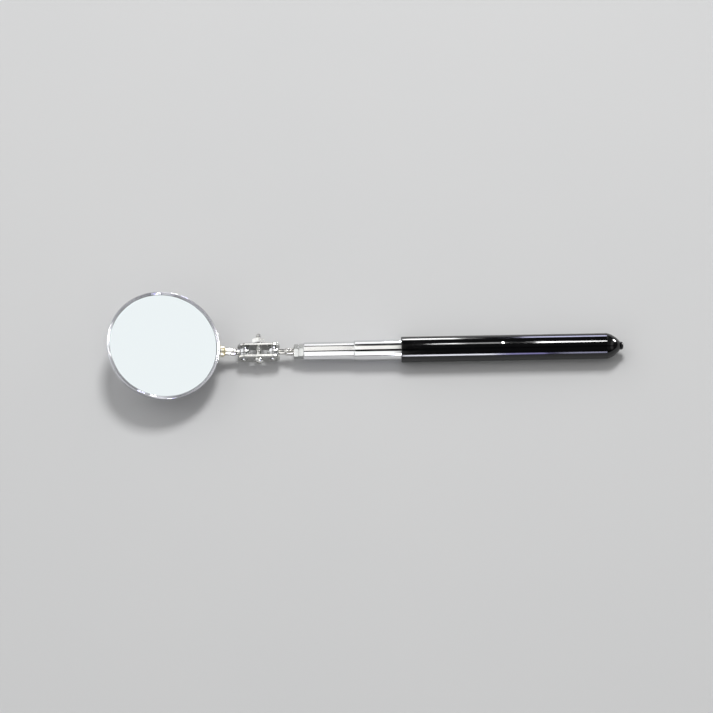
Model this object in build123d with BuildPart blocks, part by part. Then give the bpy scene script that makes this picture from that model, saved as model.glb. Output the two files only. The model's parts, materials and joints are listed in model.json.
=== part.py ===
"""Telescopic inspection mirror: round mirror on a double ball joint, two sliding tubes, black grip.

Millimetres, +Z up. The tool lies along X, with the mirror at -X and the end of the grip at +X.
The origin is half way along the tool, on the surface that the grip lies on.
"""

import os
from math import cos, radians, sin, sqrt

from build123d import *

os.makedirs("parts", exist_ok=True)

# ---------------------------------------------------------------- fits

RUNNING_FIT = 0.03  # radial clearance where one piece turns or slides in another
SEATED_FIT = 0.02  # radial clearance where one piece is pressed or brazed into another
FACE_GAP = 0.02  # gap between flat faces that rest on each other
CUT_MARGIN = 1.0  # how far a cut runs past the surface it opens

# ---------------------------------------------------------------- grip

GRIP_RADIUS = 6.55
GRIP_FRONT_X = 18.3
GRIP_REAR_X = 122.2
GRIP_BORE_RADIUS = 6.0
GRIP_LIP_LENGTH = 0.8  # the sleeve turns in over the front end of the outer tube
GRIP_MOUTH_ROUNDING = 0.5
GRIP_MOUTH_GAP = 0.15  # radial gap between the lip and the middle tube
GRIP_PIN_X = 69.7
GRIP_PIN_RADIUS = 0.5
GRIP_PIN_HEAD_RADIUS = 0.75
GRIP_PIN_HEAD_HEIGHT = 0.15
GRIP_PIN_HEAD_ROUNDING = 0.12
PLUG_FRONT_X = 118.5
CONE_END_X = 128.7
CONE_END_RADIUS = 2.3
CONE_SHOULDER_X = 126.3
CONE_SHOULDER_RADIUS = 4.7
BUTTON_RADIUS = 2.0
BUTTON_END_X = 130.6
BUTTON_ROUNDING = 1.1
BUTTON_SHANK_RADIUS = 1.2
BUTTON_SHANK_LENGTH = 5.0

# ---------------------------------------------------------------- telescopic tubes

OUTER_TUBE_RADIUS = 5.98
OUTER_TUBE_BORE = 5.575
MIDDLE_TUBE_RADIUS = 5.175
MIDDLE_TUBE_BORE = 4.875
MIDDLE_TUBE_FRONT_X = -5.6
MIDDLE_TUBE_LENGTH = 100.0
INNER_TUBE_RADIUS = 4.55
INNER_TUBE_BORE = 4.25
INNER_TUBE_FRONT_X = -31.1
INNER_TUBE_LENGTH = 98.0
TUBE_MOUTH_LENGTH = 1.8  # turned-in front end that guides the tube inside it
TUBE_MOUTH_ROUNDING = 0.5
INNER_TUBE_LIP_LENGTH = 0.8
INNER_TUBE_LIP_BORE = 3.95
BEAD_LENGTH = 0.8  # low ridges that hold the friction spring on its tube
BEAD_CLEARANCE = 0.1
SPRING_LENGTH = 12.0
SPRING_SLOT_WIDTH = 1.0

# ---------------------------------------------------------------- hexagons and stud

HEX_ACROSS_FLATS = 6.6
HEX_CORNER_CUT = 0.3
HEX_GAP = 0.1
PLUG_HEX_LENGTH = 2.3
PLUG_SHANK_LENGTH = 9.0
PLUG_SHANK_RELIEF = 1.0
LOCK_NUT_LENGTH = 2.4
LOCK_NUT_TURN = 4.0  # degrees that the lock nut stops past the flats of the plug
STUD_RADIUS = 2.15
STUD_THREAD_PITCH = 0.8
STUD_THREAD_DEPTH = 0.32
STUD_THREAD_START_X = -39.4
STUD_THREAD_RUNOUT = 0.4  # length over which the neck grows to the root of the thread
STUD_TAIL_X = -25.0

# ---------------------------------------------------------------- double ball joint

CLAMP_CENTRE_X = -53.65
BALL_SPACING = 14.5
BALL_RADIUS = 3.15
NECK_RADIUS = 1.45
NECK_LENGTH = 4.7  # from the ball's centre to the full thickness of the stem
NECK_TAPER_LENGTH = 0.5
PLATE_WIDTH = 7.2
PLATE_LENGTH = 21.5
PLATE_THICKNESS = 1.1
PLATE_INNER_Y = 2.67
PLATE_EDGE_ROUNDING = 0.25
SEAT_HOLE_RADIUS = 1.7
SCREW_RADIUS = 1.42
SCREW_HOLE_RADIUS = 1.5
SCREW_PITCH = 0.7
SCREW_THREAD_DEPTH = 0.25
SCREW_THREAD_START_Y = 0.2
SCREW_POINT_LENGTH = 0.3
SCREW_HEAD_RADIUS = 2.6
SCREW_HEAD_HEIGHT = 2.1
SCREW_HEAD_ROUNDING = 0.7
SCREW_SLOT_WIDTH = 0.8
SCREW_SLOT_DEPTH = 0.9
SCREW_SLOT_TURN = 35.0
SCREW_END_Y = 9.8
WASHER_RADIUS = 2.7
WASHER_THICKNESS = 0.6
WASHER_SPLIT = 0.5
CLAMP_NUT_ACROSS_FLATS = 6.35
CLAMP_NUT_LENGTH = 2.3

# ---------------------------------------------------------------- mirror head
# u runs along the stem from the front ball's centre to the mirror, w is square to the glass.

HEAD_SWING = 10.0  # degrees that the mirror is raised from the line of the tubes
HEAD_TWIST = 3.0  # degrees that it is turned round its stem, towards the screw head's side
STEM_RADIUS = 1.9
STEM_END_U = 12.4
BALL_SEAT_GAP = 0.03
FERRULE_START_U = 10.4
FERRULE_END_U = 12.8
FERRULE_RADIUS = 2.9
FERRULE_ROUNDING = 0.4
TONGUE_WIDTH = 5.9
TONGUE_THICKNESS = 1.2
TONGUE_END_ROUNDING = 2.9
TONGUE_OVERLAP = 1.0  # how far the tongue runs into the ferrule
TONGUE_END_U = 33.0
RIVET_STATIONS = (19.0, 28.5)
RIVET_RADIUS = 1.0
RIVET_HEAD_RADIUS = 1.8
RIVET_HEAD_HEIGHT = 0.8
RIVET_TAIL_HEIGHT = 0.35
MIRROR_CENTRE_U = 42.0
CUP_RADIUS = 28.8
CUP_DEPTH = 4.1
CUP_SHEET = 0.5
CUP_LIP_RADIUS = 27.3
CUP_LIP_HEIGHT = 0.65
CUP_LIP_ROUNDING = 0.4
CUP_CORNER_ROUNDING = 1.1
PAD_THICKNESS = 0.6
PAD_EDGE_GAP = 0.2
GLASS_EDGE_GAP = 0.05
GLASS_EDGE_CHAMFER = 0.25

# ---------------------------------------------------------------- places worked out from them

tool_axis = Axis((0, 0, GRIP_RADIUS), (1, 0, 0))
tool_side = Plane((0, 0, GRIP_RADIUS), x_dir=(1, 0, 0), z_dir=(0, -1, 0))
tool_end = Plane((0, 0, GRIP_RADIUS), x_dir=(0, 1, 0), z_dir=(1, 0, 0))

rear_ball_centre = Vector(CLAMP_CENTRE_X + BALL_SPACING / 2, 0, GRIP_RADIUS)
front_ball_centre = Vector(CLAMP_CENTRE_X - BALL_SPACING / 2, 0, GRIP_RADIUS)

plate_outer_y = PLATE_INNER_Y + PLATE_THICKNESS
nut_start_y = plate_outer_y + WASHER_THICKNESS + 2 * FACE_GAP
clamp_side = Plane((CLAMP_CENTRE_X, 0, GRIP_RADIUS), x_dir=(1, 0, 0), z_dir=(0, 1, 0))
screw_section = Plane((CLAMP_CENTRE_X, 0, GRIP_RADIUS), x_dir=(0, 1, 0), z_dir=(1, 0, 0))
screw_axis = Axis((CLAMP_CENTRE_X, 0, GRIP_RADIUS), (0, 1, 0))

stem_direction = Vector(-cos(radians(HEAD_SWING)), 0, sin(radians(HEAD_SWING)))
stem_normal = Vector(sin(radians(HEAD_SWING)), 0, cos(radians(HEAD_SWING)))
glass_normal = stem_normal.rotate(Axis((0, 0, 0), stem_direction), -HEAD_TWIST)
glass_across = stem_direction.cross(glass_normal)
head_side = Plane(front_ball_centre, x_dir=stem_direction, z_dir=(0, 1, 0))
head_plan = Plane(front_ball_centre, x_dir=stem_direction, z_dir=glass_normal)
stem_axis = Axis(front_ball_centre, stem_direction)
mirror_origin = front_ball_centre + stem_direction * MIRROR_CENTRE_U
mirror_side = Plane(mirror_origin, x_dir=stem_direction, z_dir=glass_across)
ferrule_front = Plane(front_ball_centre + stem_direction * FERRULE_START_U, z_dir=stem_direction)
mirror_axis = Axis(mirror_origin, glass_normal)

cup_back_w = TONGUE_THICKNESS / 2 + FACE_GAP
pad_back_w = cup_back_w + CUP_SHEET + FACE_GAP
glass_back_w = pad_back_w + PAD_THICKNESS + FACE_GAP
lip_back_w = cup_back_w + CUP_DEPTH - CUP_LIP_HEIGHT
glass_front_w = lip_back_w - FACE_GAP
cup_bore_radius = CUP_RADIUS - CUP_SHEET


def write_piece(piece, name):
    """Labels a finished piece and writes it as its own STEP file."""
    piece.label = name
    export_step(piece, f"parts/{name}.step")


def thread_points(start, end, crest, pitch, depth):
    """Zigzag outline of a thread from start to end: roots at both ends, a crest between each two."""
    turns = round(abs(end - start) / pitch)
    step = (end - start) / turns
    points = [(start, crest - depth)]
    for turn in range(turns):
        points.append((start + step * (turn + 0.5), crest))
        points.append((start + step * (turn + 1), crest - depth))
    return points


# ---------------------------------------------------------------- grip

pin_plane = Plane((GRIP_PIN_X, 0, GRIP_RADIUS), x_dir=(1, 0, 0), z_dir=(0, 0, 1))
sleeve_mouth_radius = MIDDLE_TUBE_RADIUS + GRIP_MOUTH_GAP

with BuildPart() as grip_sleeve:
    with BuildSketch(tool_side):
        with BuildLine():
            lip_end_x = GRIP_FRONT_X + GRIP_LIP_LENGTH
            Polyline(
                (GRIP_FRONT_X, sleeve_mouth_radius),
                (GRIP_FRONT_X, GRIP_RADIUS),
                (GRIP_REAR_X, GRIP_RADIUS),
                (GRIP_REAR_X, GRIP_BORE_RADIUS),
                (lip_end_x, GRIP_BORE_RADIUS),
                (lip_end_x, sleeve_mouth_radius),
                close=True,
            )
        make_face()
    revolve(axis=tool_axis)
    fillet(grip_sleeve.faces().sort_by(Axis.X)[0].outer_wire().edges(), GRIP_MOUTH_ROUNDING)
    with BuildSketch(pin_plane):
        Circle(GRIP_PIN_RADIUS + SEATED_FIT)
    extrude(amount=GRIP_RADIUS + CUT_MARGIN, mode=Mode.SUBTRACT)
write_piece(grip_sleeve.part, "grip_sleeve")

with BuildPart() as outer_tube:
    with BuildSketch(tool_side):
        with BuildLine():
            tube_front_x = GRIP_FRONT_X + GRIP_LIP_LENGTH + FACE_GAP
            mouth_radius = MIDDLE_TUBE_RADIUS + RUNNING_FIT
            Polyline(
                (tube_front_x, mouth_radius),
                (tube_front_x, OUTER_TUBE_RADIUS),
                (GRIP_REAR_X, OUTER_TUBE_RADIUS),
                (GRIP_REAR_X, OUTER_TUBE_BORE),
                (tube_front_x + TUBE_MOUTH_LENGTH, OUTER_TUBE_BORE),
                (tube_front_x + TUBE_MOUTH_LENGTH, mouth_radius),
                close=True,
            )
        make_face()
    revolve(axis=tool_axis)
    with BuildSketch(pin_plane):
        Circle(GRIP_PIN_RADIUS + SEATED_FIT)
    extrude(amount=GRIP_RADIUS + CUT_MARGIN, mode=Mode.SUBTRACT)
write_piece(outer_tube.part, "outer_tube")

# Round-headed pin through the sleeve and the outer tube. It ends short of the tube's bore.
with BuildPart() as grip_pin:
    with BuildSketch(pin_plane.offset(OUTER_TUBE_BORE + BEAD_CLEARANCE)):
        Circle(GRIP_PIN_RADIUS)
    extrude(amount=GRIP_RADIUS - OUTER_TUBE_BORE - BEAD_CLEARANCE)
    with BuildSketch(pin_plane.offset(GRIP_RADIUS)):
        Circle(GRIP_PIN_HEAD_RADIUS)
    extrude(amount=GRIP_PIN_HEAD_HEIGHT)
    fillet(grip_pin.faces().sort_by(Axis.Z)[-1].edges(), GRIP_PIN_HEAD_ROUNDING)
write_piece(grip_pin.part, "grip_pin")

# End plug: a spigot in the outer tube and a cone whose outline curves in to the button.
with BuildPart() as grip_end_plug:
    with BuildSketch(tool_side):
        with BuildLine():
            spigot_radius = OUTER_TUBE_BORE - SEATED_FIT
            Polyline(
                (GRIP_REAR_X + FACE_GAP, GRIP_RADIUS),
                (GRIP_REAR_X + FACE_GAP, spigot_radius),
                (PLUG_FRONT_X, spigot_radius),
                (PLUG_FRONT_X, 0),
                (CONE_END_X, 0),
                (CONE_END_X, CONE_END_RADIUS),
            )
            ThreePointArc(
                (CONE_END_X, CONE_END_RADIUS),
                (CONE_SHOULDER_X, CONE_SHOULDER_RADIUS),
                (GRIP_REAR_X + FACE_GAP, GRIP_RADIUS),
            )
        make_face()
    revolve(axis=tool_axis)
    with BuildSketch(tool_end.offset(CONE_END_X)):
        Circle(BUTTON_SHANK_RADIUS + SEATED_FIT)
    extrude(amount=-BUTTON_SHANK_LENGTH, mode=Mode.SUBTRACT)
write_piece(grip_end_plug.part, "grip_end_plug")

with BuildPart() as end_button:
    with BuildSketch(tool_end.offset(CONE_END_X - BUTTON_SHANK_LENGTH + FACE_GAP)):
        Circle(BUTTON_SHANK_RADIUS)
    extrude(amount=BUTTON_SHANK_LENGTH)
    with BuildSketch(tool_end.offset(CONE_END_X + FACE_GAP)):
        Circle(BUTTON_RADIUS)
    extrude(amount=BUTTON_END_X - CONE_END_X - FACE_GAP)
    fillet(end_button.faces().sort_by(Axis.X)[-1].edges(), BUTTON_ROUNDING)
write_piece(end_button.part, "end_button")

# ---------------------------------------------------------------- telescopic tubes


def sliding_tube(front_x, length, radius, bore, bead_radius, mouth_radius, mouth_length):
    """Thin tube with a turned-in front end, and two low beads at the rear for its friction spring."""
    rear_x = front_x + length
    spring_rear_x = rear_x - BEAD_LENGTH
    spring_front_x = spring_rear_x - SPRING_LENGTH
    with BuildPart() as tube:
        with BuildSketch(tool_side):
            with BuildLine():
                Polyline(
                    (front_x, mouth_radius),
                    (front_x, radius),
                    (spring_front_x - BEAD_LENGTH, radius),
                    (spring_front_x - BEAD_LENGTH, bead_radius),
                    (spring_front_x, bead_radius),
                    (spring_front_x, radius),
                    (spring_rear_x, radius),
                    (spring_rear_x, bead_radius),
                    (rear_x, bead_radius),
                    (rear_x, bore),
                    (front_x + mouth_length, bore),
                    (front_x + mouth_length, mouth_radius),
                    close=True,
                )
            make_face()
        revolve(axis=tool_axis)
        fillet(tube.faces().sort_by(Axis.X)[0].outer_wire().edges(), TUBE_MOUTH_ROUNDING)
    return tube.part


def friction_spring(tube_rear_x, tube_radius, bore_around_it):
    """Split brass sleeve that lies between the two beads of its tube."""
    with BuildPart() as spring:
        with BuildSketch(tool_end.offset(tube_rear_x - BEAD_LENGTH - SPRING_LENGTH + FACE_GAP)):
            Circle(bore_around_it - RUNNING_FIT)
            Circle(tube_radius + RUNNING_FIT, mode=Mode.SUBTRACT)
            with Locations((0, bore_around_it)):
                Rectangle(SPRING_SLOT_WIDTH, bore_around_it, mode=Mode.SUBTRACT)
        extrude(amount=SPRING_LENGTH - 2 * FACE_GAP)
    return spring.part


middle_tube = sliding_tube(
    MIDDLE_TUBE_FRONT_X,
    MIDDLE_TUBE_LENGTH,
    MIDDLE_TUBE_RADIUS,
    MIDDLE_TUBE_BORE,
    OUTER_TUBE_BORE - BEAD_CLEARANCE,
    INNER_TUBE_RADIUS + RUNNING_FIT,
    TUBE_MOUTH_LENGTH,
)
write_piece(middle_tube, "middle_tube")

middle_tube_spring = friction_spring(
    MIDDLE_TUBE_FRONT_X + MIDDLE_TUBE_LENGTH, MIDDLE_TUBE_RADIUS, OUTER_TUBE_BORE
)
write_piece(middle_tube_spring, "middle_tube_spring")

inner_tube = sliding_tube(
    INNER_TUBE_FRONT_X,
    INNER_TUBE_LENGTH,
    INNER_TUBE_RADIUS,
    INNER_TUBE_BORE,
    MIDDLE_TUBE_BORE - BEAD_CLEARANCE,
    INNER_TUBE_LIP_BORE,
    INNER_TUBE_LIP_LENGTH,
)
write_piece(inner_tube, "inner_tube")

inner_tube_spring = friction_spring(
    INNER_TUBE_FRONT_X + INNER_TUBE_LENGTH, INNER_TUBE_RADIUS, MIDDLE_TUBE_BORE
)
write_piece(inner_tube_spring, "inner_tube_spring")

# ---------------------------------------------------------------- plug, lock nut and stud


def hexagon_nut(plane, length, across_flats, bore, turn):
    """Hexagon along the plane's normal, its corners turned off at both ends, with a round bore."""
    corner_radius = across_flats / sqrt(3)
    with BuildPart() as nut:
        with BuildSketch(plane):
            Circle(corner_radius)
        extrude(amount=length)
        chamfer(nut.edges().filter_by(GeomType.CIRCLE), HEX_CORNER_CUT)
        with BuildSketch(plane):
            RegularPolygon(corner_radius, 6, rotation=turn)
        extrude(amount=length, mode=Mode.INTERSECT)
        with BuildSketch(plane):
            Circle(bore)
        extrude(amount=length, mode=Mode.SUBTRACT)
    return nut.part


# One corner of the plug's hexagon points straight up.
CORNER_UP = 90.0
plug_hex_x = INNER_TUBE_FRONT_X - PLUG_HEX_LENGTH
plug_hexagon = hexagon_nut(
    tool_end.offset(plug_hex_x),
    PLUG_HEX_LENGTH - FACE_GAP,
    HEX_ACROSS_FLATS,
    STUD_RADIUS + RUNNING_FIT,
    CORNER_UP,
)

with BuildPart() as tube_plug:
    add(plug_hexagon)
    with BuildSketch(tool_end.offset(INNER_TUBE_FRONT_X - FACE_GAP)):
        Circle(INNER_TUBE_LIP_BORE - SEATED_FIT)
        Circle(STUD_RADIUS + RUNNING_FIT, mode=Mode.SUBTRACT)
    extrude(amount=INNER_TUBE_LIP_LENGTH + 2 * FACE_GAP)
    with BuildSketch(tool_end.offset(INNER_TUBE_FRONT_X + INNER_TUBE_LIP_LENGTH + FACE_GAP)):
        Circle(INNER_TUBE_BORE - SEATED_FIT)
        Circle(STUD_RADIUS + RUNNING_FIT, mode=Mode.SUBTRACT)
    extrude(amount=PLUG_SHANK_LENGTH)
    chamfer(tube_plug.faces().sort_by(Axis.X)[-1].outer_wire().edges(), PLUG_SHANK_RELIEF)
write_piece(tube_plug.part, "tube_plug")

stud_lock_nut = hexagon_nut(
    tool_end.offset(plug_hex_x - HEX_GAP - LOCK_NUT_LENGTH),
    LOCK_NUT_LENGTH,
    HEX_ACROSS_FLATS,
    STUD_RADIUS + RUNNING_FIT,
    CORNER_UP + LOCK_NUT_TURN,
)
write_piece(stud_lock_nut, "stud_lock_nut")


def ball_seat(start):
    """Outline of the hollow seat at the end of a neck, from its axis to the neck's surface."""
    reach = BALL_RADIUS + BALL_SEAT_GAP
    edge = sqrt(reach**2 - NECK_RADIUS**2)
    RadiusArc((start + reach, 0), (start + edge, NECK_RADIUS), -reach)
    return (start + edge, NECK_RADIUS)


# Rear stud: a neck with a hollow seat against the ball, then a threaded shank.
with BuildPart() as rear_stud:
    with BuildSketch(tool_side):
        with BuildLine():
            thread = thread_points(
                STUD_THREAD_START_X, STUD_TAIL_X, STUD_RADIUS, STUD_THREAD_PITCH, STUD_THREAD_DEPTH
            )
            seat_edge = ball_seat(rear_ball_centre.X)
            Polyline(
                seat_edge,
                (STUD_THREAD_START_X - STUD_THREAD_RUNOUT, NECK_RADIUS),
                *thread,
                (STUD_TAIL_X, 0),
                (rear_ball_centre.X + BALL_RADIUS + BALL_SEAT_GAP, 0),
            )
        make_face()
    revolve(axis=tool_axis)
write_piece(rear_stud.part, "rear_stud")

# ---------------------------------------------------------------- double ball joint

with BuildPart() as rear_ball:
    with Locations(rear_ball_centre):
        Sphere(BALL_RADIUS)
write_piece(rear_ball.part, "rear_ball")

with BuildPart() as front_ball:
    with Locations(front_ball_centre):
        Sphere(BALL_RADIUS)
write_piece(front_ball.part, "front_ball")


def clamp_plate(inner_y, thickness):
    """Plate with round ends, a seat hole over each ball and the screw's hole between them."""
    with BuildPart() as plate:
        with BuildSketch(clamp_side.offset(inner_y)):
            SlotOverall(PLATE_LENGTH, PLATE_WIDTH)
            with Locations((-BALL_SPACING / 2, 0), (BALL_SPACING / 2, 0)):
                Circle(SEAT_HOLE_RADIUS, mode=Mode.SUBTRACT)
            Circle(SCREW_HOLE_RADIUS, mode=Mode.SUBTRACT)
        extrude(amount=thickness)
        outer_face = plate.faces().sort_by(Axis.Y)[-1 if thickness > 0 else 0]
        fillet(outer_face.outer_wire().edges(), PLATE_EDGE_ROUNDING)
    return plate.part


write_piece(clamp_plate(-PLATE_INNER_Y, -PLATE_THICKNESS), "clamp_plate_near")
write_piece(clamp_plate(PLATE_INNER_Y, PLATE_THICKNESS), "clamp_plate_far")

# Cross screw with a round slotted head on the near side and its thread ending past the nut.
head_start_y = -plate_outer_y - FACE_GAP
with BuildPart() as clamp_screw:
    with BuildSketch(screw_section):
        with BuildLine():
            thread_end_y = SCREW_END_Y - SCREW_POINT_LENGTH
            thread = thread_points(
                SCREW_THREAD_START_Y, thread_end_y, SCREW_RADIUS, SCREW_PITCH, SCREW_THREAD_DEPTH
            )
            Polyline(
                (head_start_y, 0),
                (head_start_y, SCREW_RADIUS),
                (0, SCREW_RADIUS),
                *thread,
                (SCREW_END_Y, SCREW_RADIUS - 2 * SCREW_THREAD_DEPTH),
                (SCREW_END_Y, 0),
                close=True,
            )
        make_face()
    revolve(axis=screw_axis)
    with BuildSketch(clamp_side.offset(head_start_y)):
        Circle(SCREW_HEAD_RADIUS)
    extrude(amount=-SCREW_HEAD_HEIGHT)
    fillet(clamp_screw.faces().sort_by(Axis.Y)[0].edges(), SCREW_HEAD_ROUNDING)
    with BuildSketch(clamp_side.offset(head_start_y - SCREW_HEAD_HEIGHT)):
        Rectangle(SCREW_SLOT_WIDTH, 2 * SCREW_HEAD_RADIUS + CUT_MARGIN, rotation=SCREW_SLOT_TURN)
    extrude(amount=SCREW_SLOT_DEPTH, mode=Mode.SUBTRACT)
write_piece(clamp_screw.part, "clamp_screw")

with BuildPart() as spring_washer:
    with BuildSketch(clamp_side.offset(plate_outer_y + FACE_GAP)):
        Circle(WASHER_RADIUS)
        Circle(SCREW_HOLE_RADIUS, mode=Mode.SUBTRACT)
        with Locations((0, -WASHER_RADIUS)):
            Rectangle(WASHER_SPLIT, 2 * WASHER_RADIUS, mode=Mode.SUBTRACT)
    extrude(amount=WASHER_THICKNESS)
write_piece(spring_washer.part, "spring_washer")

clamp_nut = hexagon_nut(
    clamp_side.offset(nut_start_y),
    CLAMP_NUT_LENGTH,
    CLAMP_NUT_ACROSS_FLATS,
    SCREW_RADIUS + RUNNING_FIT,
    CORNER_UP,
)
write_piece(clamp_nut, "clamp_nut")

# ---------------------------------------------------------------- mirror stem and bracket

with BuildPart() as mirror_stem:
    with BuildSketch(head_side):
        with BuildLine():
            seat_edge = ball_seat(0)
            Polyline(
                seat_edge,
                (NECK_LENGTH - NECK_TAPER_LENGTH, NECK_RADIUS),
                (NECK_LENGTH, STEM_RADIUS),
                (STEM_END_U, STEM_RADIUS),
                (STEM_END_U, 0),
                (BALL_RADIUS + BALL_SEAT_GAP, 0),
            )
        make_face()
    revolve(axis=stem_axis)
write_piece(mirror_stem.part, "mirror_stem")

# Bracket: a round ferrule that holds the stem, and a flat tongue that runs on under the cup.
tongue_start_u = FERRULE_END_U - TONGUE_OVERLAP
with BuildPart() as stem_bracket:
    with BuildSketch(ferrule_front):
        Circle(FERRULE_RADIUS)
    extrude(amount=FERRULE_END_U - FERRULE_START_U)
    fillet(stem_bracket.edges().filter_by(GeomType.CIRCLE), FERRULE_ROUNDING)
    with BuildSketch(head_plan.offset(-TONGUE_THICKNESS / 2)):
        with Locations(((tongue_start_u + TONGUE_END_U) / 2, 0)):
            Rectangle(TONGUE_END_U - tongue_start_u, TONGUE_WIDTH)
    extrude(amount=TONGUE_THICKNESS)
    tongue_corners = stem_bracket.edges().filter_by(Axis((0, 0, 0), glass_normal))
    fillet(tongue_corners.sort_by(Axis.X)[:2], TONGUE_END_ROUNDING)
    with BuildSketch(ferrule_front):
        Circle(STEM_RADIUS + RUNNING_FIT)
    extrude(amount=STEM_END_U + FACE_GAP - FERRULE_START_U, mode=Mode.SUBTRACT)
    with BuildSketch(head_plan.offset(-TONGUE_THICKNESS / 2)):
        with Locations(*[(station, 0) for station in RIVET_STATIONS]):
            Circle(RIVET_RADIUS + SEATED_FIT)
    extrude(amount=TONGUE_THICKNESS, mode=Mode.SUBTRACT)
write_piece(stem_bracket.part, "stem_bracket")

# Two rivets: domed head under the tongue, flat tail inside the cup.
tail_top_w = cup_back_w + CUP_SHEET + RIVET_TAIL_HEIGHT + FACE_GAP
with BuildPart() as bracket_rivets:
    for station in RIVET_STATIONS:
        rivet_foot = front_ball_centre + stem_direction * station
        rivet_side = Plane(rivet_foot, x_dir=stem_direction, z_dir=glass_across)
        head_w = -TONGUE_THICKNESS / 2 - FACE_GAP
        tail_w = tail_top_w - RIVET_TAIL_HEIGHT
        dome_radius = (RIVET_HEAD_RADIUS**2 + RIVET_HEAD_HEIGHT**2) / (2 * RIVET_HEAD_HEIGHT)
        with BuildSketch(rivet_side):
            with BuildLine():
                Polyline(
                    (RIVET_HEAD_RADIUS, head_w),
                    (RIVET_RADIUS, head_w),
                    (RIVET_RADIUS, tail_w),
                    (RIVET_HEAD_RADIUS, tail_w),
                    (RIVET_HEAD_RADIUS, tail_top_w),
                    (0, tail_top_w),
                    (0, head_w - RIVET_HEAD_HEIGHT),
                )
                RadiusArc(
                    (0, head_w - RIVET_HEAD_HEIGHT),
                    (RIVET_HEAD_RADIUS, head_w),
                    -dome_radius,
                )
            make_face()
        revolve(axis=Axis(rivet_foot, glass_normal))
write_piece(bracket_rivets.part, "bracket_rivets")

# ---------------------------------------------------------------- mirror cup, pad and glass

with BuildPart() as mirror_cup:
    with BuildSketch(mirror_side):
        with BuildLine():
            Polyline(
                (0, cup_back_w),
                (CUP_RADIUS, cup_back_w),
                (CUP_RADIUS, cup_back_w + CUP_DEPTH),
                (CUP_LIP_RADIUS, cup_back_w + CUP_DEPTH),
                (CUP_LIP_RADIUS, lip_back_w),
                (cup_bore_radius, lip_back_w),
                (cup_bore_radius, cup_back_w + CUP_SHEET),
                (0, cup_back_w + CUP_SHEET),
                close=True,
            )
        make_face()
    revolve(axis=mirror_axis)
    fillet(mirror_cup.edges().filter_by(GeomType.CIRCLE).group_by(mirror_axis)[0], CUP_CORNER_ROUNDING)
    fillet(mirror_cup.edges().filter_by(GeomType.CIRCLE).group_by(mirror_axis)[-1], CUP_LIP_ROUNDING)
    with BuildSketch(head_plan.offset(cup_back_w)):
        with Locations(*[(station, 0) for station in RIVET_STATIONS]):
            Circle(RIVET_RADIUS + SEATED_FIT)
    extrude(amount=CUP_SHEET, mode=Mode.SUBTRACT)
write_piece(mirror_cup.part, "mirror_cup")

with BuildPart() as backing_pad:
    with BuildSketch(head_plan.offset(pad_back_w)):
        with Locations((MIRROR_CENTRE_U, 0)):
            Circle(cup_bore_radius - PAD_EDGE_GAP)
        with Locations(*[(station, 0) for station in RIVET_STATIONS]):
            Circle(RIVET_HEAD_RADIUS + PAD_EDGE_GAP, mode=Mode.SUBTRACT)
    extrude(amount=PAD_THICKNESS)
write_piece(backing_pad.part, "backing_pad")

with BuildPart() as mirror_glass:
    with BuildSketch(head_plan.offset(glass_back_w)):
        with Locations((MIRROR_CENTRE_U, 0)):
            Circle(cup_bore_radius - GLASS_EDGE_GAP)
    extrude(amount=glass_front_w - glass_back_w)
    chamfer(mirror_glass.edges().filter_by(GeomType.CIRCLE), GLASS_EDGE_CHAMFER)
write_piece(mirror_glass.part, "mirror_glass")
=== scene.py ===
"""Looks of the telescopic inspection mirror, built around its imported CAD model. Metres, +Z up."""

import json
from math import cos, pi, radians, sin, sqrt, tan

import bmesh
import bpy
from mathutils import Matrix, Vector


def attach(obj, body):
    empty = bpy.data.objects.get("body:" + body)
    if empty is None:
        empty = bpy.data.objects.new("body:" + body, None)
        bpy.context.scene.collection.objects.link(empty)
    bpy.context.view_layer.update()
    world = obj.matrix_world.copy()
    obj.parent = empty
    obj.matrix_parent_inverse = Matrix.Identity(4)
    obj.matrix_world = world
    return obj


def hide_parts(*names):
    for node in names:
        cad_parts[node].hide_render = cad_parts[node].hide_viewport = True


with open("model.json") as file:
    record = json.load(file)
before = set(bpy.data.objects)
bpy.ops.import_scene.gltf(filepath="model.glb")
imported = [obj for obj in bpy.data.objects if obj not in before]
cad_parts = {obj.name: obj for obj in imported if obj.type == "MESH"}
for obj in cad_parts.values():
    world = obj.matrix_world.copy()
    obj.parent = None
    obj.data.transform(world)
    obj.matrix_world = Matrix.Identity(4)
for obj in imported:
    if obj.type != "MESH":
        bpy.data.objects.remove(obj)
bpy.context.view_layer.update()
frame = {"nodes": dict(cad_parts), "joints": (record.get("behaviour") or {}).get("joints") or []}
nodes = frame["nodes"]
joints = {joint["name"]: joint for joint in frame["joints"]}
scene = bpy.context.scene
MM = 0.001

# ---------------------------------------------------------------- places read from the frame

tool_axis_point = Vector(joints["rear_ball_twist"]["pos_m"])
AXIS_HEIGHT = tool_axis_point.z
front_ball_centre = Vector(joints["front_ball_tilt"]["pos_m"])
stem_direction = Vector(joints["mirror_twist"]["axis"]).normalized()
stem_normal = Vector(joints["front_ball_tilt"]["axis"]).normalized()
HEAD_TWIST = radians(3.0)  # how far the glass is turned round the stem, towards -Y
glass_normal = stem_normal * cos(HEAD_TWIST) + stem_normal.cross(stem_direction) * sin(HEAD_TWIST)
MIRROR_CENTRE = 42.0 * MM  # from the front ball's centre along the stem
mirror_origin = front_ball_centre + stem_direction * MIRROR_CENTRE
screw_centre = Vector(joints["clamp_nut_turn"]["pos_m"])
TOOL_AXIS = Vector((1, 0, 0))
SCREW_AXIS = Vector((0, 1, 0))


# ---------------------------------------------------------------- node helpers


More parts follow.
